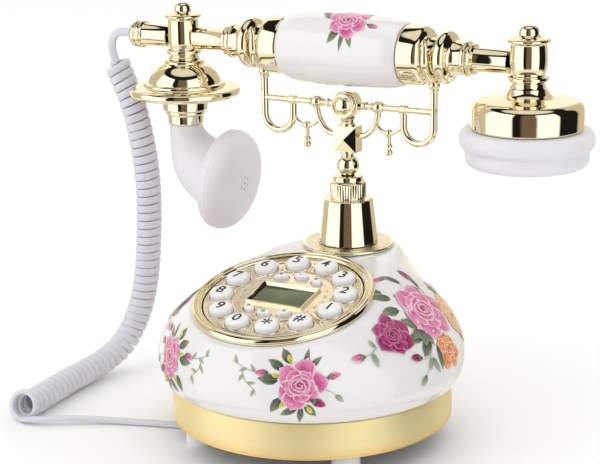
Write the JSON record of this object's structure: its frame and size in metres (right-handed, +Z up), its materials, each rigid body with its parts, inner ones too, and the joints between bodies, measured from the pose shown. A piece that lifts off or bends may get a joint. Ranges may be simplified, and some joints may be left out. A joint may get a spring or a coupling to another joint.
{
  "type": "push-button telephone",
  "caption": "Retro column telephone with a round white base, a gold dial ring of push buttons, a display, a sprung cradle and a lift-off two-post handset on a curly cord.",
  "frame": {"origin": "on the floor, under the middle of the base", "axes": "+Z up, the dial faces -Y, the handset lies along X with its mouthpiece at -X"},
  "size_m": [0.2794, 0.153, 0.207],
  "materials": {
    "gold_plate": "polished",
    "satin_gold": "satin",
    "dial_gold": "satin",
    "steel": "satin",
    "porcelain_white": "gloss",
    "white_plastic": "satin",
    "cord_white": "satin",
    "dark_plastic": "matte",
    "clear_plastic": "gloss",
    "grey_rubber": "matte",
    "circuit_board": "satin",
    "display_lens": "gloss"
  },
  "bodies": {
    "base": {"base_band": "satin_gold", "base_plate": "dark_plastic", "body_shell": "porcelain_white", "column_cone": "gold_plate", "column_flange": "gold_plate", "cord_coil": "cord_white", "cord_plug": "clear_plastic", "cord_tail": "cord_white", "dial_bezel": "gold_plate", "dial_face": "dial_gold", "display_lens": "display_lens", "display_panel": "dark_plastic", "foot_1": "white_plastic", "foot_2": "white_plastic", "foot_3": "white_plastic", "foot_4": "white_plastic", "hook_spring": "steel", "hook_switch": "dark_plastic", "jack_block": "dark_plastic", "key_mat": "grey_rubber", "keypad_board": "circuit_board", "main_board": "circuit_board", "ringer_speaker": "dark_plastic"},
    "cradle": {"cradle_frame": "gold_plate", "cradle_post": "gold_plate", "cradle_medallion": "gold_plate"},
    "handset": {"grip": "porcelain_white", "core_tube": "steel", "arm_left": "gold_plate", "arm_right": "gold_plate", "cord_end": "gold_plate", "post_left": "gold_plate", "post_right": "gold_plate", "mouthpiece_bell": "gold_plate", "horn": "white_plastic", "mouthpiece_cap": "white_plastic", "microphone": "dark_plastic", "earpiece_bell": "gold_plate", "earpiece_cap": "white_plastic", "receiver": "dark_plastic", "cord_lead": "cord_white"},
    "key_1": {"key_1": "white_plastic"},
    "key_2": {"key_2": "white_plastic"},
    "key_3": {"key_3": "white_plastic"},
    "key_4": {"key_4": "white_plastic"},
    "key_5": {"key_5": "white_plastic"},
    "key_6": {"key_6": "white_plastic"},
    "key_7": {"key_7": "white_plastic"},
    "key_8": {"key_8": "white_plastic"},
    "key_9": {"key_9": "white_plastic"},
    "key_0": {"key_0": "white_plastic"},
    "key_star": {"key_star": "white_plastic"},
    "key_hash": {"key_hash": "white_plastic"},
    "function_key_1": {"function_key_1": "white_plastic"},
    "function_key_2": {"function_key_2": "white_plastic"},
    "function_key_3": {"function_key_3": "white_plastic"},
    "function_key_4": {"function_key_4": "white_plastic"},
    "function_key_5": {"function_key_5": "white_plastic"},
    "function_key_6": {"function_key_6": "white_plastic"}
  },
  "joints": [
    {"name": "handset_lift", "type": "slide", "parent": "base", "child": "handset", "axis": [0, 0, 1], "range_m": [0, 0.06]},
    {"name": "hook_slide", "type": "slide", "parent": "base", "child": "cradle", "axis": [0, 0, 1], "range_m": [0, 0.003], "stiffness_N_per_m": 250, "springref_m": 0.008, "deforming": ["hook_spring"]},
    {"name": "key_1_press", "type": "slide", "parent": "base", "child": "key_1", "axis": [0, 0.2215, -0.9751], "range_m": [0, 0.0015], "stiffness_N_per_m": 400},
    {"name": "key_2_press", "type": "slide", "parent": "base", "child": "key_2", "axis": [0, 0.2215, -0.9751], "range_m": [0, 0.0015], "stiffness_N_per_m": 400},
    {"name": "key_3_press", "type": "slide", "parent": "base", "child": "key_3", "axis": [0, 0.2215, -0.9751], "range_m": [0, 0.0015], "stiffness_N_per_m": 400},
    {"name": "key_4_press", "type": "slide", "parent": "base", "child": "key_4", "axis": [0, 0.2215, -0.9751], "range_m": [0, 0.0015], "stiffness_N_per_m": 400},
    {"name": "key_5_press", "type": "slide", "parent": "base", "child": "key_5", "axis": [0, 0.2215, -0.9751], "range_m": [0, 0.0015], "stiffness_N_per_m": 400},
    {"name": "key_6_press", "type": "slide", "parent": "base", "child": "key_6", "axis": [0, 0.2215, -0.9751], "range_m": [0, 0.0015], "stiffness_N_per_m": 400},
    {"name": "key_7_press", "type": "slide", "parent": "base", "child": "key_7", "axis": [0, 0.2215, -0.9751], "range_m": [0, 0.0015], "stiffness_N_per_m": 400},
    {"name": "key_8_press", "type": "slide", "parent": "base", "child": "key_8", "axis": [0, 0.2215, -0.9751], "range_m": [0, 0.0015], "stiffness_N_per_m": 400},
    {"name": "key_9_press", "type": "slide", "parent": "base", "child": "key_9", "axis": [0, 0.2215, -0.9751], "range_m": [0, 0.0015], "stiffness_N_per_m": 400},
    {"name": "key_0_press", "type": "slide", "parent": "base", "child": "key_0", "axis": [0, 0.2215, -0.9751], "range_m": [0, 0.0015], "stiffness_N_per_m": 400},
    {"name": "key_star_press", "type": "slide", "parent": "base", "child": "key_star", "axis": [0, 0.2215, -0.9751], "range_m": [0, 0.0015], "stiffness_N_per_m": 400},
    {"name": "key_hash_press", "type": "slide", "parent": "base", "child": "key_hash", "axis": [0, 0.2215, -0.9751], "range_m": [0, 0.0015], "stiffness_N_per_m": 400},
    {"name": "function_key_1_press", "type": "slide", "parent": "base", "child": "function_key_1", "axis": [0, 0.2215, -0.9751], "range_m": [0, 0.001], "stiffness_N_per_m": 400},
    {"name": "function_key_2_press", "type": "slide", "parent": "base", "child": "function_key_2", "axis": [0, 0.2215, -0.9751], "range_m": [0, 0.001], "stiffness_N_per_m": 400},
    {"name": "function_key_3_press", "type": "slide", "parent": "base", "child": "function_key_3", "axis": [0, 0.2215, -0.9751], "range_m": [0, 0.001], "stiffness_N_per_m": 400},
    {"name": "function_key_4_press", "type": "slide", "parent": "base", "child": "function_key_4", "axis": [0, 0.2215, -0.9751], "range_m": [0, 0.001], "stiffness_N_per_m": 400},
    {"name": "function_key_5_press", "type": "slide", "parent": "base", "child": "function_key_5", "axis": [0, 0.2215, -0.9751], "range_m": [0, 0.001], "stiffness_N_per_m": 400},
    {"name": "function_key_6_press", "type": "slide", "parent": "base", "child": "function_key_6", "axis": [0, 0.2215, -0.9751], "range_m": [0, 0.001], "stiffness_N_per_m": 400}
  ],
  "couplings": [
    {"joint": "hook_slide", "follows": "handset_lift", "ratio": 0.05}
  ]
}
